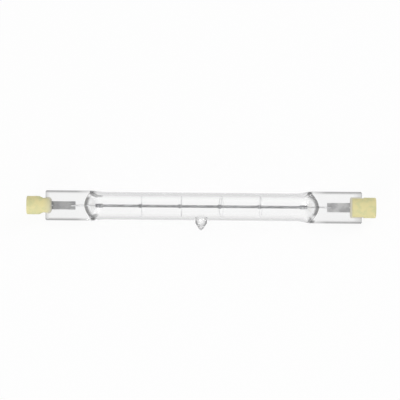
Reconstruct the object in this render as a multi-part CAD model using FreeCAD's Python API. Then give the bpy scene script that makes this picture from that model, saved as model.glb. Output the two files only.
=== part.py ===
import FreeCAD
import Part
import math
import os

# Double-ended linear halogen lamp, millimetres.
# It is drawn along X with its middle at the origin. Y runs across the flat pinches, Z through them,
# and the exhaust tip points to -Y. At the end the whole lamp is rolled about X as it lies on a table.

# Whole lamp
lamp_length = 117.6

# Quartz envelope
tube_radius = 4.65
tube_wall = 1.0
shoulder_length = 4.6
pinch_clear = 11.45
left_pinch_width = 10.1
right_pinch_width = 10.7
pinch_thickness = 2.8
pinch_corner = 0.6
pinch_end_bevel = 0.3
dome_reach = 0.2
dome_radius = 5.2
dome_slit = 0.7
dome_slit_corner = 0.28
sealing_gap = 0.02

# Exhaust tip
tip_radius = 1.95
tip_height = 3.4
tip_straight = 1.0
tip_nose_radius = 0.6
tip_bore_radius = 1.4
tip_bore_end_radius = 0.25
tip_end_wall = 1.0

# Filament and its supports
coil_radius = 0.475
coil_wire = 0.2
coil_pitch = 1.9
coil_stations = 6
coil_end_gap = 3.55
sleeve_length = 2.0
sleeve_wall = 0.2
sleeve_clearance = 0.025
support_count = 4
support_spacing = 13.35
support_wire = 0.24
support_hub_clearance = 0.03
support_bore_clearance = 0.05
support_step = 20
support_leans = (2.0, -2.0, 11.0, -9.0)

# Current leads
lead_radius = 0.25
foil_length = 9.0
foil_width = 3.0
foil_thickness = 0.06
foil_feather = 0.4
foil_from_dome = 3.6
weld_overlap = 1.5

# Ceramic ends, left and right
cap_length = 8.8
left_cap_grip = 2.4
right_cap_grip = 4.0
cap_rim_chamfer = 0.3
collar_length = 4.2
left_collar_radius = 3.1
left_shoulder_taper = 1.5
left_jaw_width = 4.7
left_jaw_corner = 1.2
right_collar_radius = 3.45
right_shoulder_taper = 0.4
right_jaw_width = 6.9
right_jaw_corner = 0.35
jaw_edge = 1.2

# Cement between glass and ceramic
cement_film = 0.15
cement_bed = 0.65
cement_bead = 0.25

# Contacts
recess_radius = 2.1
recess_depth = 1.7
contact_radius = 1.85
contact_thickness = 0.6
contact_edge = 0.12
contact_clearance = 0.05
stem_radius = 0.8

# Places along the axis, counted from the middle
lamp_end = lamp_length / 2
cap_inner_end = lamp_end - cap_length
left_pinch_end = cap_inner_end + left_cap_grip
right_pinch_end = cap_inner_end + right_cap_grip
flat_start = cap_inner_end - pinch_clear
tube_end = flat_start - shoulder_length
dome_apex = flat_start + dome_reach
coil_end = dome_apex - coil_end_gap
foil_inner_end = dome_apex + foil_from_dome
foil_outer_end = foil_inner_end + foil_length
contact_face = lamp_end - recess_depth
contact_seat = contact_face - contact_thickness
collar_start = lamp_end - collar_length
bore_radius = tube_radius - tube_wall
slot_half_height = pinch_thickness / 2 + cement_film
tip_end = tube_radius + tip_height

origin = FreeCAD.Vector(0, 0, 0)
along_x = FreeCAD.Vector(1, 0, 0)
along_y = FreeCAD.Vector(0, 1, 0)
along_z = FreeCAD.Vector(0, 0, 1)

os.makedirs("parts", exist_ok=True)


def rod(radius, start, end):
    return Part.makeCylinder(radius, end - start, FreeCAD.Vector(start, 0, 0), along_x)


def block(start, end, width, low, high):
    corner = FreeCAD.Vector(start, -width / 2, low)
    return Part.makeBox(end - start, width, high - low, corner)


def outline_face(corners):
    points = [FreeCAD.Vector(*corner) for corner in corners]
    return Part.Face(Part.makePolygon(points + points[:1]))


# A rounded rectangle across the axis, as four sides and four corner arcs
def slab_wire(x, width, height, corner):
    half_y = width / 2
    half_z = height / 2
    turn = corner * (1 - math.sqrt(0.5))
    edges = []
    for sign_y, sign_z in ((1, 1), (-1, 1), (-1, -1), (1, -1)):
        on_side = FreeCAD.Vector(x, sign_y * half_y, sign_z * (half_z - corner))
        on_face = FreeCAD.Vector(x, sign_y * (half_y - corner), sign_z * half_z)
        between = FreeCAD.Vector(x, sign_y * (half_y - turn), sign_z * (half_z - turn))
        across_face = FreeCAD.Vector(x, -sign_y * (half_y - corner), sign_z * half_z)
        across_side = FreeCAD.Vector(x, sign_y * half_y, -sign_z * (half_z - corner))
        if sign_y == sign_z:
            edges.append(Part.Arc(on_side, between, on_face).toShape())
            edges.append(Part.LineSegment(on_face, across_face).toShape())
        else:
            edges.append(Part.Arc(on_face, between, on_side).toShape())
            edges.append(Part.LineSegment(on_side, across_side).toShape())
    return Part.Wire(edges)


# A circle across the axis, cut into eight arcs that match the edges of slab_wire
def round_wire(x, radius, side_angle=8, face_angle=55):
    stops = []
    for quarter in (0, 180):
        stops += [quarter + side_angle, quarter + face_angle]
        stops += [quarter + 180 - face_angle, quarter + 180 - side_angle]
    edges = []
    for start, end in zip(stops, stops[1:] + [stops[0] + 360]):
        points = []
        for angle in (start, (start + end) / 2, end):
            turn = math.radians(angle)
            points.append(FreeCAD.Vector(x, radius * math.cos(turn), radius * math.sin(turn)))
        edges.append(Part.Arc(*points).toShape())
    return Part.Wire(edges)


def mirror_left(shape):
    return shape.mirror(origin, along_x)


# Shoulder and pinch of an end, solid
def glass_end(pinch_end, pinch_width):
    bevel_start = pinch_end - pinch_end_bevel
    slab = slab_wire(flat_start, pinch_width, pinch_thickness, pinch_corner)
    shoulder = Part.makeLoft([round_wire(tube_end, tube_radius), slab], True, True)
    bevel_slab = slab_wire(bevel_start, pinch_width, pinch_thickness, pinch_corner)
    end_slab = slab_wire(
        pinch_end,
        pinch_width - 2 * pinch_end_bevel,
        pinch_thickness - 2 * pinch_end_bevel,
        pinch_corner - pinch_end_bevel / 2,
    )
    pinch = Part.makeLoft([slab, bevel_slab, end_slab], True, True)
    return shoulder.fuse(pinch)


# Hollow of an end, which narrows to a slit and stops in a curved front
def hollow_end(pinch_width):
    slit = slab_wire(dome_apex, pinch_width - 2 * tube_wall, dome_slit, dome_slit_corner)
    wedge = Part.makeLoft([round_wire(tube_end, bore_radius), slit], True, True)
    base = FreeCAD.Vector(dome_apex - dome_radius, 0, -tube_radius)
    front = Part.makeCylinder(dome_radius, 2 * tube_radius, base, along_z)
    return wedge.common(front)


# Exhaust tip: a straight side, a taper and a round nose, turned about -Y
def exhaust_tip():
    shoulder = tube_radius + tip_straight
    nose_centre = tip_end - tip_nose_radius
    reach = math.hypot(tip_radius, nose_centre - shoulder)
    slope = math.atan2(tip_radius, nose_centre - shoulder) - math.asin(tip_nose_radius / reach)
    nose = []
    for turn in (slope, (slope + math.pi / 2) / 2, math.pi / 2):
        depth = nose_centre + tip_nose_radius * math.sin(turn)
        nose.append(FreeCAD.Vector(tip_nose_radius * math.cos(turn), -depth, 0))
    side_top = FreeCAD.Vector(tip_radius, 0, 0)
    side_low = FreeCAD.Vector(tip_radius, -shoulder, 0)
    edges = [
        Part.LineSegment(origin, side_top).toShape(),
        Part.LineSegment(side_top, side_low).toShape(),
        Part.LineSegment(side_low, nose[0]).toShape(),
        Part.Arc(*nose).toShape(),
        Part.LineSegment(nose[2], origin).toShape(),
    ]
    return Part.Face(Part.Wire(edges)).revolve(origin, along_y, 360)


# Passage from the hollow into the exhaust tip, closed before the nose
def tip_bore():
    start = bore_radius / 2
    length = tip_end - tip_end_wall - start
    base = FreeCAD.Vector(0, -start, 0)
    return Part.makeCone(tip_bore_radius, tip_bore_end_radius, length, base, -along_y)


def quartz_envelope(metal):
    left_end = mirror_left(glass_end(left_pinch_end, left_pinch_width))
    right_end = glass_end(right_pinch_end, right_pinch_width)
    tube = rod(tube_radius, -tube_end, tube_end)
    glass = tube.fuse([left_end, right_end, exhaust_tip()]).removeSplitter()
    hollow = rod(bore_radius, -tube_end, tube_end)
    left_dome = mirror_left(hollow_end(left_pinch_width))
    right_dome = hollow_end(right_pinch_width)
    return glass.cut([hollow, left_dome, right_dome, tip_bore()] + metal)


# Room in the glass for the foil and the two leads of the right pinch
def sealed_metal():
    gap = sealing_gap
    foil_top = -lead_radius
    foil_room = block(
        foil_inner_end - gap,
        foil_outer_end + gap,
        foil_width + 2 * gap,
        foil_top - foil_thickness - gap,
        foil_top + gap,
    )
    inner_room = rod(lead_radius + gap, coil_end, foil_inner_end + weld_overlap + gap)
    outer_room = rod(lead_radius + gap, foil_outer_end - weld_overlap - gap, lamp_end)
    return foil_room.fuse([inner_room, outer_room])


# Thin strip with feathered long edges, on which the leads are welded
def foil():
    top = -lead_radius
    low = top - foil_thickness
    middle = top - foil_thickness / 2
    edge = foil_width / 2
    flat = edge - foil_feather
    section = outline_face(
        [
            (foil_inner_end, -edge, middle),
            (foil_inner_end, -flat, low),
            (foil_inner_end, flat, low),
            (foil_inner_end, edge, middle),
            (foil_inner_end, flat, top),
            (foil_inner_end, -flat, top),
        ]
    )
    return section.extrude(FreeCAD.Vector(foil_length, 0, 0))


def inner_lead():
    return rod(lead_radius, coil_end - sleeve_length, foil_inner_end + weld_overlap)


def outer_lead(pinch_end):
    return rod(lead_radius, foil_outer_end - weld_overlap, pinch_end + cement_bed)


# Wound wire with a three-sided section, straight from station to station
def filament_coil():
    wire_radius = coil_wire / 2
    winding = coil_radius - wire_radius
    steps = round(2 * coil_end / coil_pitch * coil_stations)
    wires = []
    for step in range(steps + 1):
        turn = 2 * math.pi * step / coil_stations
        place = 2 * coil_end * step / steps - coil_end
        corners = []
        for corner in range(3):
            tilt = 2 * math.pi * corner / 3
            radius = winding + wire_radius * math.cos(tilt)
            x = place + wire_radius * math.sin(tilt)
            corners.append(FreeCAD.Vector(x, radius * math.cos(turn), radius * math.sin(turn)))
        wires.append(Part.makePolygon(corners + corners[:1]))
    return Part.makeLoft(wires, True, True)


# Crimped tube over the end of the coil and the lead inside it
def coil_sleeve():
    inner = coil_radius + sleeve_clearance
    tube = rod(inner + sleeve_wall, coil_end - sleeve_length, coil_end)
    return tube.cut(rod(inner, coil_end - sleeve_length, coil_end))


# Square section of support wire, at a place in polar form, turned to a mitre where the wire bends
def support_section(radius, degrees, mitre):
    turn = math.radians(degrees)
    outward = FreeCAD.Vector(0, math.cos(turn), math.sin(turn))
    onward = FreeCAD.Vector(0, -math.sin(turn), math.cos(turn))
    across = (outward - onward * mitre) * (support_wire / 2)
    along = along_x * (support_wire / 2)
    centre = outward * radius
    corners = [centre + along, centre + across, centre - along, centre - across]
    return Part.makePolygon(corners + corners[:1])


# One bent wire: a turn round the coil, a leg outwards and a ring that stands in the bore
def filament_support(place, lean):
    hub_radius = coil_radius + support_hub_clearance + support_wire / 2
    ring_radius = bore_radius - support_bore_clearance - support_wire / 2
    turns = range(support_step, 360, support_step)
    path = [(hub_radius, degrees, 0) for degrees in turns]
    path += [(hub_radius, 0, 1), (ring_radius, 0, 1)]
    path += [(ring_radius, degrees, 0) for degrees in turns]
    support = Part.makeLoft([support_section(*station) for station in path], True, True)
    support.rotate(origin, along_y, lean)
    support.translate(FreeCAD.Vector(place, 0, 0))
    return support


# Plan of a jaw or of its cement, with two rounded corners at the inner end
def tongue(start, end, width, corner, height):
    half = width / 2
    turn = corner * (1 - math.sqrt(0.5))
    low_end = FreeCAD.Vector(end, -half, 0)
    high_end = FreeCAD.Vector(end, half, 0)
    high_side = FreeCAD.Vector(start + corner, half, 0)
    high_front = FreeCAD.Vector(start, half - corner, 0)
    low_front = FreeCAD.Vector(start, corner - half, 0)
    low_side = FreeCAD.Vector(start + corner, -half, 0)
    edges = [
        Part.LineSegment(low_end, high_end).toShape(),
        Part.LineSegment(high_end, high_side).toShape(),
        Part.Arc(high_side, FreeCAD.Vector(start + turn, half - turn, 0), high_front).toShape(),
        Part.LineSegment(high_front, low_front).toShape(),
        Part.Arc(low_front, FreeCAD.Vector(start + turn, turn - half, 0), low_side).toShape(),
        Part.LineSegment(low_side, low_end).toShape(),
    ]
    face = Part.Face(Part.Wire(edges))
    face.translate(FreeCAD.Vector(0, 0, -height / 2))
    return face.extrude(FreeCAD.Vector(0, 0, height))


# Turned collar, slotted jaws that grip the pinch, recess and seat of the contact
def ceramic_cap(pinch_end, collar_radius, taper, jaw_width, jaw_corner):
    slot_bottom = pinch_end + cement_bed
    corner_end = cap_inner_end + jaw_corner
    collar = outline_face(
        [
            (corner_end, 0, 0),
            (corner_end, jaw_width / 2, 0),
            (collar_start - taper, jaw_width / 2, 0),
            (collar_start, collar_radius, 0),
            (lamp_end - cap_rim_chamfer, collar_radius, 0),
            (lamp_end, collar_radius - cap_rim_chamfer, 0),
            (lamp_end, 0, 0),
        ]
    ).revolve(origin, along_x, 360)
    jaws = tongue(cap_inner_end, collar_start, jaw_width, jaw_corner, 2 * collar_radius)
    section = Part.Face(slab_wire(cap_inner_end, jaw_width, 2 * collar_radius, jaw_edge))
    jaws = jaws.common(section.extrude(FreeCAD.Vector(cap_length, 0, 0)))
    slot = block(cap_inner_end, slot_bottom, 4 * collar_radius, -slot_half_height, slot_half_height)
    stem_room = rod(stem_radius + contact_clearance, slot_bottom, contact_seat)
    seat = rod(contact_radius + contact_clearance, contact_seat, contact_face)
    recess = rod(recess_radius, contact_face, lamp_end)
    return collar.fuse(jaws).cut([slot, stem_room, seat, recess]).removeSplitter()


# Fill behind the pinch, film along its faces and the bead pressed out round the jaws
def cement(pinch_end, pinch_width, jaw_width, jaw_corner):
    slot_bottom = pinch_end + cement_bed
    height = 2 * slot_half_height
    film = tongue(
        cap_inner_end - cement_bead,
        pinch_end,
        jaw_width + 2 * cement_bead,
        jaw_corner + cement_bead,
        height,
    )
    bed = block(pinch_end, slot_bottom, jaw_width, -slot_half_height, slot_half_height)
    lead_room = rod(lead_radius + sealing_gap, cap_inner_end, slot_bottom)
    return film.fuse(bed).cut([glass_end(pinch_end, pinch_width), lead_room])


# Disc in the recess with a stem through the ceramic to the lead
def contact(pinch_end):
    slot_bottom = pinch_end + cement_bed
    return outline_face(
        [
            (slot_bottom, 0, 0),
            (slot_bottom, stem_radius, 0),
            (contact_seat, stem_radius, 0),
            (contact_seat, contact_radius, 0),
            (contact_face - contact_edge, contact_radius, 0),
            (contact_face, contact_radius - contact_edge, 0),
            (contact_face, 0, 0),
        ]
    ).revolve(origin, along_x, 360)


# All but the glass of an end, drawn as a right end
def end_pieces(pinch_end, pinch_width, collar_radius, taper, jaw_width, jaw_corner):
    return {
        "inner_lead": inner_lead(),
        "coil_sleeve": coil_sleeve(),
        "foil": foil(),
        "outer_lead": outer_lead(pinch_end),
        "contact": contact(pinch_end),
        "ceramic_cap": ceramic_cap(pinch_end, collar_radius, taper, jaw_width, jaw_corner),
        "cement": cement(pinch_end, pinch_width, jaw_width, jaw_corner),
    }


def lamp_nodes():
    right_metal = sealed_metal()
    envelope = quartz_envelope([right_metal, mirror_left(right_metal)])
    nodes = {"quartz_envelope": envelope, "filament_coil": filament_coil()}
    for number in range(support_count):
        place = (number - (support_count - 1) / 2) * support_spacing
        lean = support_leans[number % len(support_leans)]
        nodes["filament_support_%d" % (number + 1)] = filament_support(place, lean)
    left_pieces = end_pieces(
        left_pinch_end,
        left_pinch_width,
        left_collar_radius,
        left_shoulder_taper,
        left_jaw_width,
        left_jaw_corner,
    )
    right_pieces = end_pieces(
        right_pinch_end,
        right_pinch_width,
        right_collar_radius,
        right_shoulder_taper,
        right_jaw_width,
        right_jaw_corner,
    )
    for name in right_pieces:
        nodes[name + "_left"] = mirror_left(left_pieces[name])
        nodes[name + "_right"] = right_pieces[name]
    return nodes


# On a table the lamp lies on its tube and on the nose of its exhaust tip
roll = math.degrees(math.asin((tube_radius - tip_nose_radius) / (tip_end - tip_nose_radius)))
for node, shape in lamp_nodes().items():
    shape.rotate(origin, along_x, roll)
    shape.exportStep("parts/" + node + ".step")
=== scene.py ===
import math

import bmesh
import bpy
from mathutils import Matrix, Vector, noise


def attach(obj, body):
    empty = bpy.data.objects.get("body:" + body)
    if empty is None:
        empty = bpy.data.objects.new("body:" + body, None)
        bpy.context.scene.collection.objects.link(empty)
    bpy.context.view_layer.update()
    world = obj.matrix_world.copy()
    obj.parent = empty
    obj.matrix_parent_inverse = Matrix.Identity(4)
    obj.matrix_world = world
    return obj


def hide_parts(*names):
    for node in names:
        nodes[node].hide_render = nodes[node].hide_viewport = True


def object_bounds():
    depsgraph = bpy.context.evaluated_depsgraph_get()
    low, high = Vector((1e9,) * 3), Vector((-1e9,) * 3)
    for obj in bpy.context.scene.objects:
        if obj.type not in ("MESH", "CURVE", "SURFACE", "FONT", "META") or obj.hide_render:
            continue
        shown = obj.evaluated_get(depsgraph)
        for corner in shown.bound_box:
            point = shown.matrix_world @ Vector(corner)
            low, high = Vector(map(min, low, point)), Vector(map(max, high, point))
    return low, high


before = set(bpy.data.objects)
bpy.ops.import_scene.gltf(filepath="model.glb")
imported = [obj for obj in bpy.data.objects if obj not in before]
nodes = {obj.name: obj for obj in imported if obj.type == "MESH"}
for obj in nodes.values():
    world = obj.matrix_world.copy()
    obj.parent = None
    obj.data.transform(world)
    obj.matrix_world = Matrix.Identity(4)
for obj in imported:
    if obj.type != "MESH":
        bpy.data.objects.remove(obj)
cadLow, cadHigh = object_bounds()
print("frame loaded:", len(nodes), "nodes")

# The lamp is drawn in millimetres along X, pinches flat in XY, exhaust tip to -Y,
# then rolled until the tube and the nose of the tip are level underneath
lay = {"tubeRadius": 4.65, "tipEnd": 8.05, "tipNose": 0.6, "millimetre": 0.001}
roll = math.asin((lay["tubeRadius"] - lay["tipNose"]) / (lay["tipEnd"] - lay["tipNose"]))
toFrame = Matrix.Rotation(roll, 4, "X") @ Matrix.Scale(lay["millimetre"], 4)
lampEnds = ("left", "right")
fineMerge = 0.0005
coarseMerge = 0.002


def clamp(value, low=0.0, high=1.0):
    return min(max(value, low), high)


def smoothStep(low, high, value):
    share = clamp((value - low) / (high - low))
    return share * share * (3 - 2 * share)


def sideOf(x):
    return "left" if x < 0 else "right"


# Picks from values that are given for each end as (below the axis, above the axis)
def cornerValue(values, x, y):
    return values[sideOf(x)][y > 0]


# Mesh helpers
def vertsOf(geom):
    return [g for g in geom if isinstance(g, bmesh.types.BMVert)]


def edgesOf(geom):
    return [g for g in geom if isinstance(g, bmesh.types.BMEdge)]


def openEdges(bm):
    return [edge for edge in bm.edges if edge.is_boundary]


def closeEnds(bm):
    bmesh.ops.holes_fill(bm, edges=openEdges(bm), sides=0)
    bmesh.ops.recalc_face_normals(bm, faces=bm.faces)


def meshFrom(bm, name):
    mesh = bpy.data.meshes.new(name)
    bm.to_mesh(mesh)
    bm.free()
    return mesh


def addObject(name, data):
    thing = bpy.data.objects.new(name, data)
    bpy.context.scene.collection.objects.link(thing)
    return thing


def makePiece(bm, name, finish, standsFor, crease=50):
    bmesh.ops.transform(bm, matrix=toFrame, verts=bm.verts)
    for face in bm.faces:
        face.smooth = True
    mesh = meshFrom(bm, name)
    mesh.set_sharp_from_angle(angle=math.radians(crease))
    mesh.materials.append(finish)
    piece = addObject(name, mesh)
    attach(piece, "root")
    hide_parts(*standsFor)
    return piece


# Node helpers
def addNode(tree, kind, **values):
    node = tree.nodes.new(kind)
    for key, value in values.items():
        setattr(node, key, value)
    return node


def newFinish(name):
    finish = bpy.data.materials.new(name)
    finish.use_nodes = True
    tree = finish.node_tree
    return finish, tree, tree.nodes["Principled BSDF"]


# Sets a socket to a colour or a number, or links it
def feed(tree, socket, value):
    if isinstance(value, tuple):
        socket.default_value = value + (1.0,)
    elif isinstance(value, float):
        socket.default_value = value
    else:
        tree.links.new(value, socket)


def mathNode(tree, operation, *values):
    node = addNode(tree, "ShaderNodeMath", operation=operation)
    for socket, value in zip(node.inputs, values):
        feed(tree, socket, value)
    return node.outputs[0]


def mapRange(tree, value, given=(0.0, 1.0), put=(0.0, 1.0), kind="SMOOTHSTEP"):
    node = addNode(tree, "ShaderNodeMapRange", interpolation_type=kind)
    tree.links.new(value, node.inputs["Value"])
    for key, number in zip(("From Min", "From Max", "To Min", "To Max"), given + put):
        node.inputs[key].default_value = number
    return node.outputs["Result"]


def mixColours(tree, share, first, second):
    node = addNode(tree, "ShaderNodeMix", data_type="RGBA")
    tree.links.new(share, node.inputs[0])
    feed(tree, node.inputs[6], first)
    feed(tree, node.inputs[7], second)
    return node.outputs[2]


def mixShaders(tree, share, first, second):
    node = addNode(tree, "ShaderNodeMixShader")
    for socket, value in zip(node.inputs, (share, first.outputs[0], second.outputs[0])):
        tree.links.new(value, socket)
    tree.links.new(node.outputs[0], tree.nodes["Material Output"].inputs["Surface"])


def objectPlace(tree):
    return addNode(tree, "ShaderNodeTexCoord").outputs["Object"]


def toneOf(tree, name):
    return addNode(tree, "ShaderNodeAttribute", attribute_name=name).outputs["Fac"]


def noiseNode(tree, place, scale, detail):
    node = addNode(tree, "ShaderNodeTexNoise")
    node.inputs["Detail"].default_value = detail
    tree.links.new(place, node.inputs["Vector"])
    feed(tree, node.inputs["Scale"], scale)
    return node.outputs["Fac"]


def addBump(tree, shader, height, distance):
    bump = addNode(tree, "ShaderNodeBump")
    bump.inputs["Distance"].default_value = distance
    tree.links.new(height, bump.inputs["Height"])
    tree.links.new(bump.outputs["Normal"], shader.inputs["Normal"])


def groupNode(tree, group, scales):
    node = addNode(tree, "ShaderNodeGroup", node_tree=group)
    for label, scale in scales.items():
        node.inputs[label].default_value = scale
    return node


def newGroup(name, inputs, outputs):
    group = bpy.data.node_groups.new(name, "ShaderNodeTree")
    for labels, way in ((inputs, "INPUT"), (outputs, "OUTPUT")):
        for label in labels:
            group.interface.new_socket(label, in_out=way, socket_type="NodeSocketFloat")
    return group, group.nodes.new("NodeGroupInput"), group.nodes.new("NodeGroupOutput")


# pores open only where the clouds are above the gate
clayMarks = {"cloudDetail": 4.0, "grainDetail": 3.0, "pit": (0.06, 0.2), "gate": 0.5}


# Cloudy patches, fine grain and open pores of fired clay, shared by the ceramic and the cement
def firedClay(m):
    scales = ("Cloud Scale", "Grain Scale", "Pore Scale")
    group, given, put = newGroup("firedClay", scales, ("Clouds", "Grain", "Pores", "Height"))
    place = objectPlace(group)
    clouds = noiseNode(group, place, given.outputs["Cloud Scale"], m["cloudDetail"])
    grain = noiseNode(group, place, given.outputs["Grain Scale"], m["grainDetail"])
    cells = addNode(group, "ShaderNodeTexVoronoi")
    group.links.new(place, cells.inputs["Vector"])
    group.links.new(given.outputs["Pore Scale"], cells.inputs["Scale"])
    pits = mapRange(group, cells.outputs["Distance"], m["pit"], (1.0, 0.0))
    pores = mathNode(group, "MULTIPLY", pits, mathNode(group, "GREATER_THAN", clouds, m["gate"]))
    height = mathNode(group, "SUBTRACT", grain, pores)
    for label, value in (("Clouds", clouds), ("Grain", grain), ("Pores", pores), ("Height", height)):
        group.links.new(value, put.inputs[label])
    return group


metalMarks = {"stretch": (0.08, 1.0, 1.0), "streakDetail": 3.0, "patchDetail": 4.0}


# Drawing streaks along the lamp and patches of tarnish, shared by all the metals
def drawnMetal(m):
    scales = ("Streak Scale", "Patch Scale")
    group, given, put = newGroup("drawnMetal", scales, ("Streaks", "Patches"))
    place = objectPlace(group)
    drawn = addNode(group, "ShaderNodeMapping")
    drawn.inputs["Scale"].default_value = m["stretch"]
    group.links.new(place, drawn.inputs["Vector"])
    streaks = noiseNode(group, drawn.outputs["Vector"], given.outputs["Streak Scale"], m["streakDetail"])
    patches = noiseNode(group, place, given.outputs["Patch Scale"], m["patchDetail"])
    group.links.new(streaks, put.inputs["Streaks"])
    group.links.new(patches, put.inputs["Patches"])
    return group


clayGroup = firedClay(clayMarks)
metalGroup = drawnMetal(metalMarks)
print("shader groups made")

# Finishes
quartzLook = {
    "clear": (0.998, 0.998, 0.998),
    "pressed": (0.93, 0.93, 0.93),
    # painted shade: colour of the dark lines where light bends in the glass at the pinches, shoulders, dome
    # and crease
    "shadeLines": (0.09, 0.09, 0.092),
    "edge": (0.55, 0.55, 0.555),   # painted shade of the outer skin where it is seen edge on
    "edgeShadeRange": (0.05, 0.6),
    "tip": (0.09, 0.09, 0.092),    # painted shade of the exhaust tip where it is seen edge on
    "tipShadeRange": (0.0, 0.44),
    "ior": 1.458,
    "absorb": (0.9, 0.9, 0.9),
    "density": 12.0,
    "pressScale": 900.0,
    "pressDetail": 2.0,
    "pressDepth": 0.00002,
    "caughtAfter": 4.5,            # bounces
    "through": (0.93, 0.93, 0.93),
}


def quartzFinish(look):
    finish, tree, shader = newFinish("clearQuartz")
    press = toneOf(tree, "press")
    # painted shade: the glass is darker where its outer skin and the sides of the exhaust tip are seen edge
    # on
    facing = addNode(tree, "ShaderNodeLayerWeight").outputs["Facing"]
    edge = mapRange(tree, facing, look["edgeShadeRange"])
    tipShade = mapRange(tree, facing, look["tipShadeRange"], kind="LINEAR")
    colour = mixColours(tree, press, look["clear"], look["pressed"])
    colour = mixColours(tree, mathNode(tree, "MULTIPLY", edge, toneOf(tree, "skin")), colour, look["edge"])
    colour = mixColours(tree, mathNode(tree, "MULTIPLY", tipShade, toneOf(tree, "nose")), colour, look["tip"])
    # painted shade lines mixed into the glass colour
    colour = mixColours(tree, toneOf(tree, "shadeLines"), colour, look["shadeLines"])
    tree.links.new(colour, shader.inputs["Base Color"])
    shader.inputs["Roughness"].default_value = 0.0
    shader.inputs["IOR"].default_value = look["ior"]
    shader.inputs["Transmission Weight"].default_value = 1.0
    ripple = noiseNode(tree, objectPlace(tree), look["pressScale"], look["pressDetail"])
    addBump(tree, shader, mathNode(tree, "MULTIPLY", ripple, press), look["pressDepth"])
    # lamps reach what is inside the glass, and light that is caught in it gets out again
    path = addNode(tree, "ShaderNodeLightPath")
    caught = mathNode(tree, "GREATER_THAN", path.outputs["Ray Depth"], look["caughtAfter"])
    through = addNode(tree, "ShaderNodeBsdfTransparent")
    feed(tree, through.inputs["Color"], look["through"])
    mixShaders(tree, mathNode(tree, "MAXIMUM", path.outputs["Is Shadow Ray"], caught), shader, through)
    haze = addNode(tree, "ShaderNodeVolumeAbsorption")
    feed(tree, haze.inputs["Color"], look["absorb"])
    haze.inputs["Density"].default_value = look["density"]
    tree.links.new(haze.outputs[0], tree.nodes["Material Output"].inputs["Volume"])
    return finish


ceramicLook = {
    "scales": {"Cloud Scale": 420.0, "Grain Scale": 5200.0, "Pore Scale": 2600.0},
    "clouds": (0.38, 0.66),
    "body": (0.745, 0.672, 0.345),
    "greenish": (0.64, 0.625, 0.33),
    "pore": (0.40, 0.35, 0.18),
    "end": (0.56, 0.55, 0.40),
    "stain": {"left": (0.0495, 0.0535), "right": (0.0498, 0.0512)},   # the cement greys the jaws
    "roughness": (0.48, 0.68),
    "bump": 0.00003,
}


def ceramicFinish(look, side):
    finish, tree, shader = newFinish("yellowCeramic_" + side)
    clay = groupNode(tree, clayGroup, look["scales"])
    clouds = mapRange(tree, clay.outputs["Clouds"], look["clouds"])
    split = addNode(tree, "ShaderNodeSeparateXYZ")
    tree.links.new(objectPlace(tree), split.inputs[0])
    fromMiddle = mathNode(tree, "ABSOLUTE", split.outputs["X"])
    stain = mapRange(tree, fromMiddle, look["stain"][side], (1.0, 0.0))
    colour = mixColours(tree, clouds, look["body"], look["greenish"])
    colour = mixColours(tree, stain, colour, look["end"])
    colour = mixColours(tree, clay.outputs["Pores"], colour, look["pore"])
    tree.links.new(colour, shader.inputs["Base Color"])
    rough = mapRange(tree, clay.outputs["Grain"], put=look["roughness"], kind="LINEAR")
    tree.links.new(rough, shader.inputs["Roughness"])
    addBump(tree, shader, clay.outputs["Height"], look["bump"])
    return finish


cementLook = {
    "scales": {"Cloud Scale": 900.0, "Grain Scale": 3800.0, "Pore Scale": 1800.0},
    "pale": (0.78, 0.75, 0.62),
    "dark": (0.55, 0.53, 0.44),
    "roughness": 0.9,
    "bump": 0.00008,
}


def cementFinish(look):
    finish, tree, shader = newFinish("greyCement")
    clay = groupNode(tree, clayGroup, look["scales"])
    colour = mixColours(tree, clay.outputs["Grain"], look["dark"], look["pale"])
    colour = mixColours(tree, clay.outputs["Pores"], colour, look["dark"])
    tree.links.new(colour, shader.inputs["Base Color"])
    shader.inputs["Roughness"].default_value = look["roughness"]
    addBump(tree, shader, clay.outputs["Height"], look["bump"])
    return finish


# bright and tarnished tone, lowest and highest roughness, scales of streaks and patches;
# hot is the tone where the filament has scorched a wire
metalLooks = {
    "coilWire": {
        "bright": (0.46, 0.46, 0.47), "tarnish": (0.36, 0.36, 0.37),
        "rough": (0.32, 0.5), "scales": {"Streak Scale": 6000.0, "Patch Scale": 500.0},
    },
    "sleeveMetal": {
        "bright": (0.38, 0.38, 0.39), "tarnish": (0.28, 0.28, 0.29),
        "rough": (0.32, 0.5), "scales": {"Streak Scale": 6000.0, "Patch Scale": 500.0},
    },
    "supportWire": {
        "bright": (0.84, 0.84, 0.85), "tarnish": (0.66, 0.66, 0.67), "hot": (0.40, 0.40, 0.41),
        "rough": (0.28, 0.45), "scales": {"Streak Scale": 6000.0, "Patch Scale": 600.0},
    },
    "leadWire": {
        "bright": (0.84, 0.84, 0.85), "tarnish": (0.66, 0.66, 0.67),
        "rough": (0.28, 0.45), "scales": {"Streak Scale": 6000.0, "Patch Scale": 600.0},
    },
    # painted light and shade: the two foils are one metal, the left painted darker and the right lighter
    # for how each is lit
    "leftFoil": {
        "bright": (0.46, 0.46, 0.46), "tarnish": (0.36, 0.36, 0.365),
        "rough": (0.4, 0.6), "scales": {"Streak Scale": 2600.0, "Patch Scale": 420.0},
    },
    "rightFoil": {
        "bright": (0.64, 0.64, 0.64), "tarnish": (0.48, 0.48, 0.485),
        "rough": (0.4, 0.6), "scales": {"Streak Scale": 2600.0, "Patch Scale": 420.0},
    },
    "nickelContact": {
        "bright": (0.72, 0.70, 0.66), "tarnish": (0.46, 0.43, 0.38),
        "rough": (0.22, 0.42), "scales": {"Streak Scale": 3000.0, "Patch Scale": 900.0},
    },
}
allMetals = {"tarnished": (0.4, 0.62), "bump": 0.00001}


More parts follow.
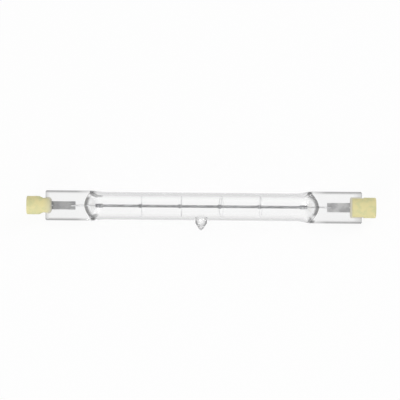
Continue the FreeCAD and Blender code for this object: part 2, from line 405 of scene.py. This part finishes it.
def metalFinish(name, look, shared):
    finish, tree, shader = newFinish(name)
    drawn = groupNode(tree, metalGroup, look["scales"])
    tarnished = mapRange(tree, drawn.outputs["Patches"], shared["tarnished"])
    colour = mixColours(tree, tarnished, look["bright"], look["tarnish"])
    if "hot" in look:
        colour = mixColours(tree, toneOf(tree, "scorch"), colour, look["hot"])
    tree.links.new(colour, shader.inputs["Base Color"])
    shader.inputs["Metallic"].default_value = 1.0
    rough = mapRange(tree, drawn.outputs["Streaks"], put=look["rough"], kind="LINEAR")
    tree.links.new(rough, shader.inputs["Roughness"])
    addBump(tree, shader, drawn.outputs["Streaks"], shared["bump"])
    return finish


clearQuartz = quartzFinish(quartzLook)
yellowCeramic = {side: ceramicFinish(ceramicLook, side) for side in lampEnds}
greyCement = cementFinish(cementLook)
metals = {name: metalFinish(name, look, allMetals) for name, look in metalLooks.items()}
print("finishes made")

# Quartz envelope: outer skin with the exhaust tip, and the hollow inside it.
# A pair of values for an end is for below and above the axis
envelope = {
    "tubeRadius": lay["tubeRadius"],
    "boreRadius": 3.65,
    "tubeEnd": 33.95,
    "flatStart": 38.55,
    "pinchEnd": {"left": 52.4, "right": 54.0},
    "pinchWidth": {"left": 10.1, "right": 10.7},
    "pinchThick": 2.8,
    "pinchCorner": 0.6,
    "endBevel": 0.3,
    "widen": (31.95, 36.8),
    "sideArc": 8,           # degrees of a round section that go to a slab's narrow side
    "faceArc": 55,          # degrees where its wide face begins
    "domeApex": {"left": 39.05, "right": 39.35},
    "domeRadius": 5.2,
    "domeSlant": {"left": (0.12, 0.0), "right": (0.14, 0.12)},
    "slitWall": 0.9,
    "slitHeight": 0.7,
    "slitCorner": 0.28,
    # grids
    "around": 128,
    "shoulderSteps": 16,
    "frontSteps": 4,
    "tubeStops": (5.0, 10.0, 18.0, 26.0, 31.0),
    "widenStops": (32.6, 33.3),
    "pinchStops": (39.5, 42.0, 45.0, 48.0, 51.0),
    "boreStops": (5.0, 12.0, 20.0, 28.0, 32.0, 33.0),
    # tones of the outer skin: the pressed glass, and painted shade
    "pressFrom": 2.6,       # past the end of the tube
    "sideRim": (0.3, 0.95),
    "sideGrows": (38.5, 42.0),
    "sideLeast": 0.5,
    "sideShade": 0.8,
    "endRim": (0.1, 0.5),
    "endShade": 0.65,
    "cornerShade": (34.6, 36.6, 37.0, 37.9),           # where the painted shade in the corners rises and fades
    "spotShift": {"left": (-0.45, 0.2), "right": (0.5, 0.0)},
    "spotDepth": {"left": (0.5, 0.5), "right": (0.62, 0.5)},
    "spotFade": 0.7,
    "cornerShadeTone": {"left": (0.7, 0.75), "right": (1.0, 0.55)},
    "noseReach": 2.2,
    "noseRise": (-0.5, 0.1),                    # past the tube's outside
    "noseFall": (1.2, 2.8),
    "noseLoss": 0.5,
    "skinFrom": (2.0, 2.8),
    # painted shade in the hollow
    "domeRim": (-1.3, -0.35),
    "domeFade": (2.4, 3.3),
    "domeLoss": 0.75,
    "domeShade": 0.8,
    "creaseEnd": 37.2,
    "creaseLow": 3.45,
    "creaseHigh": 4.4,
    "creaseEdge": (0.1, 0.45),
    "creaseStart": {"left": (0.1, -0.25), "right": (1.2, 0.75)},
    "creaseRise": 0.3,
    "creaseStop": 1.2,
    "creaseShade": 0.85,
    # ring and block count grid rings: to the wall of the tip, and on to the tube's own grid
    "filletRings": 4,
    "blendFrom": 3,
    "tip": {
        "ring": 7, "block": 13, "step": 0.24, "hole": 1.95, "fillet": 0.15,
        "profile": (
            (1.95, 5.30), (1.94, 5.55), (1.85, 5.80), (1.69, 6.05), (1.52, 6.30),
            (1.36, 6.55), (1.20, 6.80), (1.04, 7.05), (0.87, 7.30), (0.70, 7.53),
            (0.52, 7.73), (0.35, 7.89), (0.18, 8.00), (0.0, 8.05),
        ),
    },
    "tipBore": {
        "ring": 6, "block": 10, "step": 0.2, "hole": 1.0, "fillet": 0.25,
        "profile": (
            (0.90, 4.1), (0.75, 4.8), (0.58, 5.6), (0.40, 6.4), (0.25, 6.95), (0.14, 7.12), (0.0, 7.2),
        ),
    },
}


# Half the outline's width: it widens a little before the tube is pressed flat
def halfWidth(x):
    e = envelope
    share = smoothStep(*e["widen"], abs(x))
    return e["tubeRadius"] * (1 - share) + e["pinchWidth"][sideOf(x)] / 2 * share


# Point of a round section that is pressed to a slab as flat goes from 0 to 1
def pressedPoint(degrees, radius, width, height, corner, flat):
    sideArc, faceArc = envelope["sideArc"], envelope["faceArc"]
    turn = math.radians(degrees)
    fold = degrees % 180
    fold = min(fold, 180 - fold)
    if fold <= sideArc:
        y = width / 2
        z = (height / 2 - corner) * fold / sideArc
    elif fold <= faceArc:
        bend = math.radians((fold - sideArc) / (faceArc - sideArc) * 90)
        y = width / 2 - corner + corner * math.cos(bend)
        z = height / 2 - corner + corner * math.sin(bend)
    else:
        y = (width / 2 - corner) * (90 - fold) / (90 - faceArc)
        z = height / 2
    y = math.copysign(y, math.cos(turn))
    z = math.copysign(z, math.sin(turn))
    y = radius * math.cos(turn) * (1 - flat) + y * flat
    z = radius * math.sin(turn) * (1 - flat) + z * flat
    return y, z


# Rolls a flat grid into a tube: each grid point goes where place says
def rolledGrid(bm, columns, around, place):
    cells = {}
    for v in bmesh.ops.create_grid(bm, x_segments=columns, y_segments=around, size=1.0)["verts"]:
        column = round((v.co.x + 1) / 2 * columns)
        row = round((v.co.y + 1) / 2 * around)
        v.co = place(column, row)
        cells[v] = (column - columns // 2, row - around // 2)
    return cells


# Spreads the grid round the tip into rings, opens the middle and draws the tip out of the opening
def drawTip(bm, cells, radius, tip):
    around = envelope["around"]
    ring, block = tip["ring"], tip["block"]
    reach = {}
    for v, (column, row) in cells.items():
        level = max(abs(column), abs(row))
        reach[v] = level
        if level > block or level < ring:
            continue
        square = Vector((column * tip["step"], radius * 2 * math.pi * row / around))
        bend = math.pi / 2 * min((level - ring) / envelope["filletRings"], 1.0)
        wide = tip["hole"] + tip["fillet"] * (1 - math.cos(bend))
        lift = tip["fillet"] * (1 - math.sin(bend))
        # corners of the square rings are turned evenly on the round ones
        if abs(column) >= abs(row):
            share = row / abs(column)
            turn = math.pi / 4 * share if column > 0 else math.pi - math.pi / 4 * share
        else:
            share = column / abs(row)
            turn = math.pi / 2 - math.pi / 4 * share
            turn = turn if row > 0 else -turn
        circle = Vector((wide * math.cos(turn), radius * math.asin(wide * math.sin(turn) / radius)))
        flat = circle.lerp(square, smoothStep(ring + envelope["blendFrom"], block, level))
        angle = flat.y / radius
        v.co = Vector((flat.x, -radius * math.cos(angle) - lift, -radius * math.sin(angle)))
    inside = [f for f in bm.faces if all(reach[v] <= ring for v in f.verts)]
    bmesh.ops.delete(bm, geom=inside, context="FACES")
    edges = [edge for edge in openEdges(bm) if all(reach[v] == ring for v in edge.verts)]
    wall = tip["hole"]
    for wide, depth in tip["profile"]:
        made = bmesh.ops.extrude_edge_only(bm, edges=edges)["geom"]
        edges = edgesOf(made)
        verts = vertsOf(made)
        for v in verts:
            v.co = Vector((v.co.x * wide / wall, -depth, v.co.z * wide / wall))
        wall = wide
    bmesh.ops.pointmerge(bm, verts=verts, merge_co=verts[0].co)


def outerSkin():
    e = envelope
    half = [n * e["tip"]["step"] for n in range(e["tip"]["block"] + 1)] + list(e["tubeStops"])
    half += [e["widen"][0], *e["widenStops"], e["tubeEnd"]]
    steps = e["shoulderSteps"]
    half += [e["tubeEnd"] + (e["flatStart"] - e["tubeEnd"]) * n / steps for n in range(1, steps + 1)]
    half += e["pinchStops"]
    ends = {side: half + [end - e["endBevel"], end] for side, end in e["pinchEnd"].items()}
    stops = [-x for x in reversed(ends["left"])] + ends["right"][1:]
    bm = bmesh.new()
    shadeLines, press, skin, nose = [bm.verts.layers.float.new(name) for name in ("shadeLines", "press", "skin", "nose")]

    def place(column, row):
        x = stops[column]
        trim = e["endBevel"] if column in (0, len(stops) - 1) else 0.0
        flat = smoothStep(e["tubeEnd"], e["flatStart"], abs(x))
        width = e["pinchWidth"][sideOf(x)]
        y, z = pressedPoint(
            360 * row / e["around"], e["tubeRadius"], width - 2 * trim,
            e["pinchThick"] - 2 * trim, e["pinchCorner"] - trim / 2, flat,
        )
        pressedHalf = e["tubeRadius"] * (1 - flat) + width / 2 * flat
        return Vector((x, y * halfWidth(x) / pressedHalf, z))

    cells = rolledGrid(bm, len(stops) - 1, e["around"], place)
    drawTip(bm, cells, e["tubeRadius"], e["tip"])
    bmesh.ops.remove_doubles(bm, verts=bm.verts, dist=fineMerge)
    closeEnds(bm)
    for v in bm.verts:
        x, y, z = v.co
        flat = smoothStep(e["tubeEnd"] + e["pressFrom"], e["flatStart"], abs(x))
        # painted shade along the sides and ends of the pinches
        inward = e["pinchWidth"][sideOf(x)] / 2 - abs(y)
        grown = e["sideLeast"] + (1 - e["sideLeast"]) * smoothStep(*e["sideGrows"], abs(x))
        side = e["sideShade"] * (1 - smoothStep(*e["sideRim"], inward)) * grown
        end = e["endShade"] * (1 - smoothStep(*e["endRim"], e["pinchEnd"][sideOf(x)] - abs(x)))
        # painted shade, darkest at the shoulder's corners
        along = abs(x) - cornerValue(e["spotShift"], x, y)
        depth = cornerValue(e["spotDepth"], x, y)
        cornerShade = smoothStep(*e["cornerShade"][:2], along) * (1 - smoothStep(*e["cornerShade"][2:], along))
        cornerShade *= 1 - smoothStep(depth, depth + e["spotFade"], halfWidth(x) - abs(y))
        cornerShade *= cornerValue(e["cornerShadeTone"], x, y)
        fromTip = math.hypot(x, z) if y < 0 else math.inf
        # painted shade along the sides of the exhaust tip, lighter towards its end
        if fromTip < e["noseReach"]:
            past = -y - e["tubeRadius"]
            lost = e["noseLoss"] * smoothStep(*e["noseFall"], past)
            v[nose] = smoothStep(*e["noseRise"], past) * (1 - lost)
        v[shadeLines] = max(flat * side, flat * end, cornerShade)
        v[press] = flat
        v[skin] = smoothStep(*e["skinFrom"], fromTip)
    return bm


def innerSkin():
    e = envelope
    half = [n * e["tipBore"]["step"] for n in range(e["tipBore"]["block"] + 1)]
    half += [*e["boreStops"], e["tubeEnd"]]
    straight = len(half) - 1
    half += [n / e["shoulderSteps"] for n in range(1, e["shoulderSteps"] + 1)]
    pressed = len(half) - 1
    middle = pressed + e["frontSteps"]
    bm = bmesh.new()
    shadeLines = bm.verts.layers.float.new("shadeLines")
    for name in ("press", "skin", "nose"):
        bm.verts.layers.float.new(name)

    def place(column, row):
        stop = abs(column - middle)
        side = 1 if column >= middle else -1
        degrees = 360 * row / e["around"]
        width = e["pinchWidth"][sideOf(side)] - 2 * e["slitWall"]
        size = (e["boreRadius"], width, e["slitHeight"], e["slitCorner"])
        if stop <= straight:
            y, z = pressedPoint(degrees, *size, 0.0)
            return Vector((side * half[stop], y, z))
        share = half[stop] if stop <= pressed else 1.0
        y, z = pressedPoint(degrees, *size, smoothStep(0, 1, share))
        bow = math.sqrt(e["domeRadius"] ** 2 - y * y)
        lean = e["domeRadius"] - bow + cornerValue(e["domeSlant"], side, y) * abs(y)
        x = e["tubeEnd"] + share * (e["domeApex"][sideOf(side)] - lean - e["tubeEnd"])
        if stop > pressed:
            bend = math.radians(90 / e["frontSteps"] * (stop - pressed))
            bulge = e["slitHeight"] / 2 * math.sin(bend)
            x += bulge * bow / e["domeRadius"]
            y += bulge * y / e["domeRadius"]
            z *= math.cos(bend)
        return Vector((side * x, y, z))

    cells = rolledGrid(bm, 2 * middle, e["around"], place)
    drawTip(bm, cells, e["boreRadius"], e["tipBore"])
    bmesh.ops.remove_doubles(bm, verts=bm.verts, dist=fineMerge)
    bmesh.ops.recalc_face_normals(bm, faces=bm.faces)
    bmesh.ops.reverse_faces(bm, faces=bm.faces)  # the skin of the hollow faces into it
    for v in bm.verts:
        x, y = v.co.x, v.co.y
        slant = cornerValue(e["domeSlant"], x, y) * abs(y)
        fromApex = abs(x) - e["domeApex"][sideOf(x)] + slant
        edge = math.hypot(fromApex + e["domeRadius"], y) - e["domeRadius"]
        along = (abs(x) - e["tubeEnd"]) / (e["creaseEnd"] - e["tubeEnd"])
        dome = smoothStep(*e["domeRim"], edge) if along > 0 else 0.0
        # the painted shade of the front runs out towards one corner of each slit
        if x * y < 0:
            dome *= 1 - e["domeLoss"] * smoothStep(*e["domeFade"], abs(y))
        # painted shade line that runs from the bore to the corner of the slit
        off = abs(abs(y) - e["creaseLow"] - (e["creaseHigh"] - e["creaseLow"]) * along)
        start = cornerValue(e["creaseStart"], x, y)
        crease = (1 - smoothStep(*e["creaseEdge"], off)) * smoothStep(start, start + e["creaseRise"], along)
        crease = crease if along < e["creaseStop"] else 0.0
        v[shadeLines] = max(e["domeShade"] * dome, e["creaseShade"] * crease)
    return bm


def quartzEnvelope():
    bm = outerSkin()
    hollow = meshFrom(innerSkin(), "hollow")
    bm.from_mesh(hollow)
    bpy.data.meshes.remove(hollow)
    return makePiece(bm, "glassEnvelope", clearQuartz, ["quartz_envelope"], crease=60)


glassPiece = quartzEnvelope()
print("envelope:", len(glassPiece.data.polygons), "faces")


# Wires start as a ring of edges, which is turned about an axis or run straight
def wireStart(bm, centre, radius, sides):
    bmesh.ops.create_circle(bm, segments=sides, radius=radius, matrix=Matrix.Translation(centre))
    return list(bm.verts) + list(bm.edges)


def turnWire(bm, ring, centre, axis, degrees, steps, lift=(0, 0, 0)):
    turned = bmesh.ops.spin(
        bm, geom=ring, cent=centre, axis=axis, dvec=lift, angle=math.radians(degrees),
        steps=steps, use_merge=False, use_duplicate=False,
    )
    return turned["geom_last"]


def runWire(bm, ring, offset):
    made = bmesh.ops.extrude_edge_only(bm, edges=edgesOf(ring))["geom"]
    bmesh.ops.translate(bm, verts=vertsOf(made), vec=offset)
    return vertsOf(made) + edgesOf(made)


coil = {"length": 70.4, "radius": 0.495, "wire": 0.2, "turns": 10, "lengths": 33, "steps": 14, "sides": 6}


# Ten turns are wound, and lengths of ten are set end to end
def filamentCoil(c):
    bm = bmesh.new()
    winding = c["radius"] - c["wire"] / 2
    run = c["length"] / c["lengths"]
    ring = wireStart(bm, (-c["length"] / 2, winding, 0), c["wire"] / 2, c["sides"])
    steps = c["turns"] * c["steps"]
    turnWire(bm, ring, (0, 0, 0), (1, 0, 0), 360 * c["turns"], steps, (run / steps, 0, 0))
    first = list(bm.verts) + list(bm.edges) + list(bm.faces)
    for number in range(1, c["lengths"]):
        copy = bmesh.ops.duplicate(bm, geom=first)["geom"]
        bmesh.ops.translate(bm, verts=vertsOf(copy), vec=(run * number, 0, 0))
    bmesh.ops.remove_doubles(bm, verts=bm.verts, dist=coarseMerge)
    closeEnds(bm)
    return makePiece(bm, "filamentHelix", metals["coilWire"], ["filament_coil"])


helix = filamentCoil(coil)
print("filament:", len(helix.data.polygons), "faces")

support = {
    "wire": 0.18, "sides": 8, "hub": 0.625, "hubTurns": 4.25, "hubPitch": 0.235,
    "ring": 3.48, "ringTurn": 322, "elbow": 0.3, "bend": 0.5, "hot": (0.8, 1.1),
    "spacing": 13.35, "leans": (2.0, -2.0, 11.0, -9.0),
    "turnSteps": 20, "elbowSteps": 6, "bendSteps": 8, "ringSteps": 72,
}


def filamentSupport(number, s):
    bm = bmesh.new()
    scorch = bm.verts.layers.float.new("scorch")
    axis = (1, 0, 0)
    back = -360 * s["hubTurns"]
    turn = math.radians(back)
    start = Vector((-s["hubPitch"] * s["hubTurns"], s["hub"] * math.cos(turn), s["hub"] * math.sin(turn)))
    ring = wireStart(bm, (0, 0, 0), s["wire"] / 2, s["sides"])
    place = Matrix.Translation(start) @ Matrix.Rotation(turn, 4, "X")
    bmesh.ops.transform(bm, matrix=place, verts=bm.verts)
    steps = round(s["hubTurns"] * s["turnSteps"])
    lift = s["hubPitch"] * s["hubTurns"] / steps
    ring = turnWire(bm, ring, (0, 0, 0), axis, -back, steps, (lift, 0, 0))
    ring = turnWire(bm, ring, (0, s["hub"] + s["elbow"], 0), axis, -90, s["elbowSteps"])
    reach = s["ring"] - s["bend"]
    lean = math.asin((s["elbow"] + s["bend"]) / reach)
    middle = (0, reach * math.cos(lean), s["elbow"] + s["bend"])
    ring = runWire(bm, ring, (0, middle[1] - s["hub"] - s["elbow"], 0))
    ring = turnWire(bm, ring, middle, axis, 90 + math.degrees(lean), s["bendSteps"])
    turnWire(bm, ring, (0, 0, 0), axis, s["ringTurn"], s["ringSteps"])
    closeEnds(bm)
    for v in bm.verts:  # the hub is darkened by the filament
        v[scorch] = 1 - smoothStep(*s["hot"], math.hypot(v.co.y, v.co.z))
    fromMiddle = number - (len(s["leans"]) - 1) / 2
    tilt = Matrix.Rotation(math.radians(s["leans"][number]), 4, "Y")
    place = Matrix.Translation((fromMiddle * s["spacing"], 0, 0)) @ tilt
    bmesh.ops.transform(bm, matrix=place, verts=bm.verts)
    name = "filament_support_%d" % (number + 1)
    makePiece(bm, "supportWire_%d" % (number + 1), metals["supportWire"], [name])


for number in range(len(support["leans"])):
    filamentSupport(number, support)
print("filament supports made")


# Turned pieces: a profile of (along, radius) spun about the lamp's axis
def lathe(profile, steps):
    bm = bmesh.new()
    verts = [bm.verts.new((x, radius, 0)) for x, radius in profile]
    edges = [bm.edges.new(pair) for pair in zip(verts, verts[1:])]
    bmesh.ops.spin(
        bm, geom=verts + edges, cent=(0, 0, 0), axis=(1, 0, 0),
        angle=2 * math.pi, steps=steps, use_merge=True, use_duplicate=False,
    )
    bmesh.ops.remove_doubles(bm, verts=bm.verts, dist=fineMerge)
    bmesh.ops.recalc_face_normals(bm, faces=bm.faces)
    return bm


# Pieces of the ends are drawn at the right end and mirrored for the left
def onEnd(bm, side):
    if side == "left":
        bmesh.ops.scale(bm, vec=(-1, 1, 1), verts=bm.verts)
        bmesh.ops.reverse_faces(bm, faces=bm.faces)
    return bm


sleeve = {
    "steps": 48,
    "profile": (
        (33.20, 0.50), (33.20, 0.66), (33.26, 0.70), (33.62, 0.70), (33.74, 0.63), (33.88, 0.63),
        (34.00, 0.70), (34.40, 0.70), (34.52, 0.63), (34.66, 0.63), (34.78, 0.70), (35.14, 0.70),
        (35.20, 0.66), (35.20, 0.50), (33.20, 0.50),
    ),
}


def coilSleeve(side, s):
    bm = onEnd(lathe(s["profile"], s["steps"]), side)
    makePiece(bm, "coilSleeve_" + side, metals["sleeveMetal"], ["coil_sleeve_" + side])


contact = {
    "steps": 64,
    "stemStart": {"left": 53.05, "right": 54.65},
    "stemRadius": 0.80,
    "profile": (
        (56.50, 0.80), (56.50, 1.85), (56.95, 1.85), (57.05, 1.81),
        (57.10, 1.72), (57.10, 0.70), (57.06, 0.62), (56.99, 0.50), (56.95, 0.30), (56.94, 0.0),
    ),
}


def contactDisc(side, c):
    start = c["stemStart"][side]
    profile = ((start, 0.0), (start, c["stemRadius"])) + c["profile"]
    bm = onEnd(lathe(profile, c["steps"]), side)
    makePiece(bm, "contactDisc_" + side, metals["nickelContact"], ["contact_" + side], crease=35)


foil = {
    "start": 42.35, "length": 9.0, "width": {"left": 2.75, "right": 3.15}, "level": -0.28, "thick": 0.05,
    "wave": 0.008, "waveSize": 1.3, "columns": 72, "rows": 24,
}


def sealingFoil(side, f):
    bm = bmesh.new()
    place = Matrix.Translation((f["start"] + f["length"] / 2, 0, f["level"]))
    place = place @ Matrix.Diagonal((f["length"] / 2, f["width"][side] / 2, 1, 1))
    bmesh.ops.create_grid(bm, x_segments=f["columns"], y_segments=f["rows"], size=1.0, matrix=place)
    for v in bm.verts:
        v.co.z += f["wave"] * noise.noise(v.co / f["waveSize"])
    bmesh.ops.solidify(bm, geom=list(bm.faces), thickness=f["thick"])
    bmesh.ops.recalc_face_normals(bm, faces=bm.faces)
    bm = onEnd(bm, side)
    makePiece(bm, "sealingFoil_" + side, metals[side + "Foil"], ["foil_" + side])


for side in lampEnds:
    coilSleeve(side, sleeve)
    contactDisc(side, contact)
    sealingFoil(side, foil)
    for lead in ("inner_lead_", "outer_lead_"):
        nodes[lead + side].data.materials.clear()
        nodes[lead + side].data.materials.append(metals["leadWire"])
print("sleeves, contacts, foils and leads made")

cap = {
    "steps": 96,
    "radius": {"left": 3.1, "right": 3.45},
    "jaw": {"left": 50.8, "right": 50.75},      # where the jaws begin, a little behind the cement bead
    "jawHalf": {"left": 2.35, "right": 3.45},
    "jawCorner": {"left": 1.2, "right": 0.35},
    "jawRim": ((0.0, 0.14), (0.04, 0.04), (0.14, 0.0)),
    "rings": (0.05, 0.15, 0.3, 0.5, 0.8, 1.2),
    "taper": (53.1, 54.6),
    "taperStops": (52.6, 53.1, 53.6, 54.1, 54.6),
    "slot": 1.55,
    "slotBottom": {"left": 53.05, "right": 54.65},
    "near": 0.001,                              # points this close to a wall of the slot lie on it
    "tail": ((58.44, 0.0), (58.56, 0.04), (58.76, 0.24), (58.8, 0.36)),
    "recess": (
        (58.8, 2.24), (58.76, 2.14), (58.66, 2.1), (57.1, 2.1), (57.1, 1.9), (56.5, 1.9), (56.5, 0.85),
    ),
    "stemHole": 0.85,
}


# Half the width of a ceramic end in plan: a jaw with rounded corners that widens to the collar
def capHalf(side, x, c):
    share = clamp((x - c["taper"][0]) / (c["taper"][1] - c["taper"][0]))
    corner = c["jawCorner"][side]
    short = corner - clamp(x - c["jaw"][side], 0.0, corner)
    rounded = corner - math.sqrt(corner ** 2 - short ** 2)
    return c["jawHalf"][side] * (1 - share) + c["radius"][side] * share - rounded


# Opens the slot that takes the pinch and gives it its walls and its bottom
def cutSlot(bm, half, bottom, near):
    for level in (-half, half):
        geom = list(bm.verts) + list(bm.edges) + list(bm.faces)
        bmesh.ops.bisect_plane(bm, geom=geom, dist=near, plane_co=(0, 0, level), plane_no=(0, 0, 1))
    inside = []
    for face in bm.faces:
        if all(abs(v.co.z) < half + near and v.co.x < bottom + near for v in face.verts):
            inside.append(face)
    bmesh.ops.delete(bm, geom=inside, context="FACES")
    for level in (-half, half):
        line = [v for v in bm.verts if abs(v.co.z - level) < near and v.co.x < bottom + near]
        bm.edges.new([v for v in line if v.co.x > bottom - near])
        wall = [edge for edge in bm.edges if edge.verts[0] in line and edge.verts[1] in line]
        bmesh.ops.contextual_create(bm, geom=wall)
    bmesh.ops.triangle_fill(bm, edges=openEdges(bm), use_beauty=True)
    bmesh.ops.recalc_face_normals(bm, faces=bm.faces)


# The ceramic ends are turned, narrowed to their jaws and slotted
def ceramicEnd(side, c):
    start, bottom, radius = c["jaw"][side], c["slotBottom"][side], c["radius"][side]
    stops = [start + n for n in c["rings"]] + [bottom, *c["taperStops"]]
    profile = [(start, 0.0)] + [(start + x, radius - inward) for x, inward in c["jawRim"]]
    profile += [(x, radius) for x in sorted(stops) if x > start + c["jawRim"][-1][0]]
    profile += [(x, radius - inward) for x, inward in c["tail"]]
    profile += [*c["recess"], (bottom, c["stemHole"]), (bottom, 0.0)]
    bm = lathe(profile, c["steps"])
    for v in bm.verts:
        half = capHalf(side, v.co.x, c)
        v.co.y = clamp(v.co.y, -half, half)
    cutSlot(bm, c["slot"], bottom, c["near"])
    bm = onEnd(bm, side)
    makePiece(bm, "ceramicEnd_" + side, yellowCeramic[side], ["ceramic_cap_" + side], crease=40)


bead = {
    "drawn": (49.75, 52.3),         # drawn back in full at the first place and not at the second
    "drawnBack": {"left": 0.6, "right": 0.35},
    "spread": {"left": 1.06, "right": 0.945},
}


# The cement keeps the solid's form, a little further back, and as wide as it shows round the jaws
def cementRim(side, b):
    bm = bmesh.new()
    bm.from_mesh(nodes["cement_" + side].data)
    bmesh.ops.transform(bm, matrix=toFrame.inverted(), verts=bm.verts)
    bmesh.ops.remove_doubles(bm, verts=bm.verts, dist=coarseMerge)
    start, end = b["drawn"]
    for v in bm.verts:
        share = max(end - abs(v.co.x), 0.0) / (end - start)
        v.co.x += math.copysign(b["drawnBack"][side] * share, v.co.x)
    bmesh.ops.scale(bm, vec=(1, b["spread"][side], 1), verts=bm.verts)
    makePiece(bm, "cementRim_" + side, greyCement, ["cement_" + side])


for side in lampEnds:
    ceramicEnd(side, cap)
    cementRim(side, bead)
print("ceramic ends and cement made")

# Stage: a pale floor with a painted pool of light, soft lamps and a pale room
stage = {
    "size": 4.0,
    "gap": 0.00004,                             # between the floor and the solids
    "paper": (0.9, 0.9, 0.9),
    "roughness": 0.95,
    "white": 0.92,                              # share of glow in what is seen of the floor
    # painted pool of light: the floor glows full out to 0.35 m and falls to 0.65 at 1 m
    "lightPool": (0.35, 1.0),
    "fade": (1.0, 0.65),
}


def paleFloor(s):
    bm = bmesh.new()
    place = Matrix.Translation((0, 0, cadLow.z - s["gap"]))
    bmesh.ops.create_grid(bm, x_segments=1, y_segments=1, size=s["size"], matrix=place)
    mesh = meshFrom(bm, "paleFloor")
    floor = addObject("paleFloor", mesh)
    finish, tree, shader = newFinish("palePaper")
    feed(tree, shader.inputs["Base Color"], s["paper"])
    shader.inputs["Roughness"].default_value = s["roughness"]
    away = addNode(tree, "ShaderNodeVectorMath", operation="LENGTH")
    tree.links.new(objectPlace(tree), away.inputs[0])
    # the glow paints a pool of light round the middle of the floor
    glow = addNode(tree, "ShaderNodeEmission")
    tree.links.new(mapRange(tree, away.outputs["Value"], s["lightPool"], s["fade"]), glow.inputs["Color"])
    path = addNode(tree, "ShaderNodeLightPath")
    seen = mathNode(tree, "MAXIMUM", path.outputs["Is Camera Ray"], path.outputs["Is Glossy Ray"])
    seen = mathNode(tree, "MAXIMUM", seen, path.outputs["Is Transmission Ray"])
    mixShaders(tree, mathNode(tree, "MULTIPLY", seen, s["white"]), shader, glow)
    mesh.materials.append(finish)


room = {"rise": (0.1, 0.8), "tones": (0.65, 1.0), "strength": 0.75}   # from the horizon to the top


def softRoom(r):
    world = bpy.data.worlds.new("softRoom")
    bpy.context.scene.world = world
    world.use_nodes = True
    tree = world.node_tree
    place = addNode(tree, "ShaderNodeTexCoord")
    split = addNode(tree, "ShaderNodeSeparateXYZ")
    tree.links.new(place.outputs["Generated"], split.inputs[0])
    ground = tree.nodes["Background"]
    tree.links.new(mapRange(tree, split.outputs["Z"], r["rise"], r["tones"]), ground.inputs["Color"])
    ground.inputs["Strength"].default_value = r["strength"]


lamps = {
    "key": {"at": (-0.45, -1.0, 0.32), "size": 0.5, "power": 5.4},
    "fill": {"at": (0.9, 0.5, 0.6), "size": 0.6, "power": 3.6},
}


def softLamps(given):
    for name, lamp in given.items():
        light = bpy.data.lights.new(name, "AREA")
        light.shape = "DISK"
        light.size = lamp["size"]
        light.energy = lamp["power"]
        holder = addObject(name, light)
        holder.location = lamp["at"]
        holder.rotation_mode = "QUATERNION"
        holder.rotation_quaternion = (-Vector(lamp["at"])).to_track_quat("-Z", "Y")


# The picture is 400 pixels wide and 134.7 mm across at the lamp, whose middle is near pixel (201, 207)
view = {
    "across": 0.1347, "pixels": 400, "middle": (201.3, 206.5), "tilt": 0.49, "distance": 1.1,
    "sensor": 36.0, "clip": (0.01, 20.0),
}


def photoCamera(v):
    camera = bpy.data.cameras.new("photoCamera")
    camera.sensor_width = v["sensor"]
    camera.lens = v["sensor"] * v["distance"] / v["across"]
    camera.clip_start, camera.clip_end = v["clip"]
    holder = addObject("photoCamera", camera)
    back = Vector((0, -math.sin(roll), math.cos(roll)))  # square to the flat pinches
    tilt = math.radians(v["tilt"])
    level = Vector((1, 0, 0))
    right = level * math.cos(tilt) + back.cross(level) * math.sin(tilt)
    up = back.cross(right)
    pixel = v["across"] / v["pixels"]
    aside = (v["pixels"] / 2 - v["middle"][0]) * pixel
    above = (v["middle"][1] - v["pixels"] / 2) * pixel
    place = right * aside + up * above + back * v["distance"]
    holder.matrix_world = Matrix((
        (right.x, up.x, back.x, place.x),
        (right.y, up.y, back.y, place.y),
        (right.z, up.z, back.z, place.z),
        (0, 0, 0, 1),
    ))
    bpy.context.scene.camera = holder


paleFloor(stage)
softRoom(room)
softLamps(lamps)
photoCamera(view)
bpy.context.scene.view_settings.view_transform = "Standard"
print("stage, lamps and camera set")
